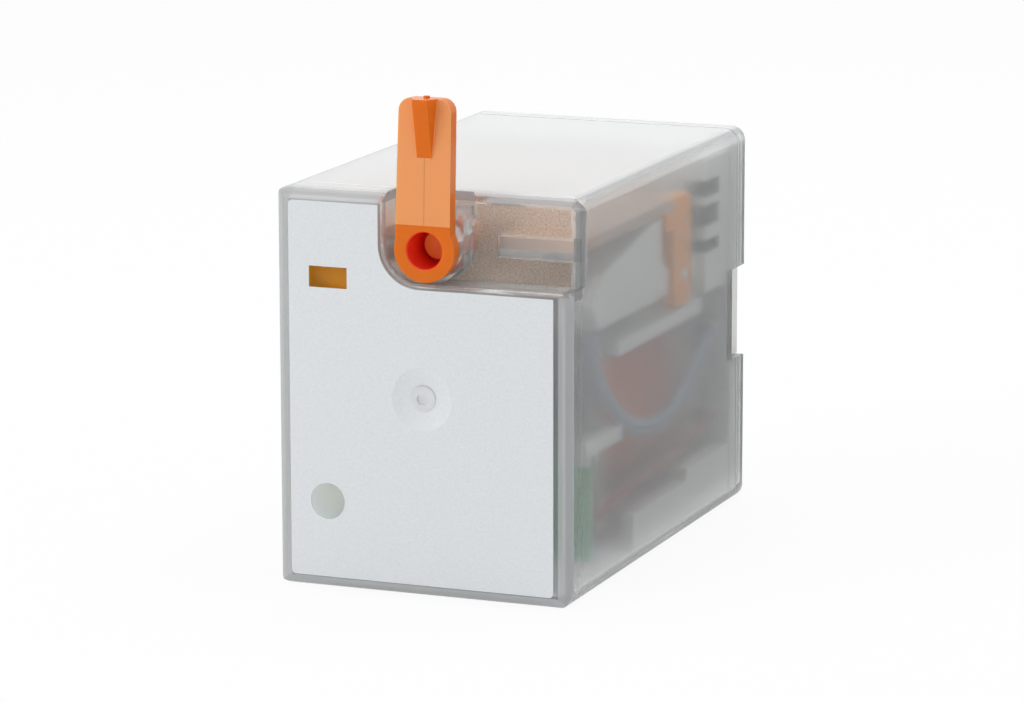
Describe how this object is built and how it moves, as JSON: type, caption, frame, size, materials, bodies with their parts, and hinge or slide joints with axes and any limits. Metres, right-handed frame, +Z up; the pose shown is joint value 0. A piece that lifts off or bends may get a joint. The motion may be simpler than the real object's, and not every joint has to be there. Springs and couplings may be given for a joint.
{
  "type": "plug-in relay",
  "caption": "Plug-in miniature industrial relay with a clear stepped cover, an orange test lever, a flag window, a light window and flat blades at the rear.",
  "frame": {"origin": "middle of the cover's flat underside, on which the relay lies", "axes": "+Y out of the rear seat along the blades, +Z up to the test lever, +X to the right as seen from the front"},
  "size_m": [0.0212, 0.0427, 0.0341],
  "materials": {
    "clear_cover": "frosted",
    "label_film": "matte",
    "base_white": "satin",
    "lever_orange": "gloss",
    "plunger_orange": "gloss",
    "flag_amber": "gloss",
    "steel": "plated",
    "carrier_white": "satin",
    "contact_silver": "polished",
    "bobbin_white": "satin",
    "winding_tape": "satin",
    "spring_steel": "satin",
    "board_green": "satin",
    "light_lens": "gloss",
    "resistor_body": "satin",
    "lead_red": "satin",
    "spring_bronze": "satin",
    "pigtail_tinned": "satin",
    "blade_metal": "tinned"
  },
  "bodies": {
    "housing": {"cover": "clear_cover", "front_label": "label_film", "base": "base_white", "nc_contacts": "contact_silver", "no_contacts": "contact_silver", "nc_terminal_1": "blade_metal", "nc_terminal_2": "blade_metal", "nc_terminal_3": "blade_metal", "nc_terminal_4": "blade_metal", "no_terminal_1": "blade_metal", "no_terminal_2": "blade_metal", "no_terminal_3": "blade_metal", "no_terminal_4": "blade_metal", "common_terminal_1": "blade_metal", "common_terminal_2": "blade_metal", "common_terminal_3": "blade_metal", "common_terminal_4": "blade_metal", "coil_terminal_1": "blade_metal", "coil_terminal_2": "blade_metal", "coil_bobbin": "bobbin_white", "coil_winding": "winding_tape", "core": "steel", "yoke": "steel", "return_spring": "spring_steel", "circuit_board": "board_green", "led": "light_lens", "resistor": "resistor_body", "coil_lead_1": "lead_red", "coil_lead_2": "lead_red", "pigtail_1": "pigtail_tinned", "pigtail_2": "pigtail_tinned", "pigtail_3": "pigtail_tinned", "pigtail_4": "pigtail_tinned"},
    "lever": {"test_lever": "lever_orange"},
    "plunger": {"test_plunger": "plunger_orange"},
    "armature": {"armature": "steel", "contact_carrier": "carrier_white", "contact_spring_1": "spring_bronze", "contact_spring_2": "spring_bronze", "contact_spring_3": "spring_bronze", "contact_spring_4": "spring_bronze", "moving_contacts": "contact_silver"},
    "indicator": {"flag_indicator": "flag_amber"}
  },
  "joints": [
    {"name": "lever_turn", "type": "hinge", "parent": "housing", "child": "lever", "pos_m": [0.0003, -0.0178, 0.02375], "axis": [0, 1, 0], "range_deg": [0, 90]},
    {"name": "armature_tilt", "type": "hinge", "parent": "housing", "child": "armature", "pos_m": [0, -0.0077, 0.0018], "axis": [1, 0, 0], "range_deg": [0, 3.5]},
    {"name": "plunger_slide", "type": "slide", "parent": "housing", "child": "plunger", "axis": [0, -1, 0], "range_m": [0, 0.00134]},
    {"name": "indicator_tilt", "type": "hinge", "parent": "housing", "child": "indicator", "pos_m": [0, 0.0065, 0.0186], "axis": [-1, 0, 0], "range_deg": [0, 4.7]}
  ],
  "couplings": [
    {"joint": "armature_tilt", "follows": "lever_turn", "ratio": 0.03888},
    {"joint": "plunger_slide", "follows": "lever_turn", "m_per_rad": 0.00085},
    {"joint": "indicator_tilt", "follows": "lever_turn", "ratio": 0.0522}
  ]
}
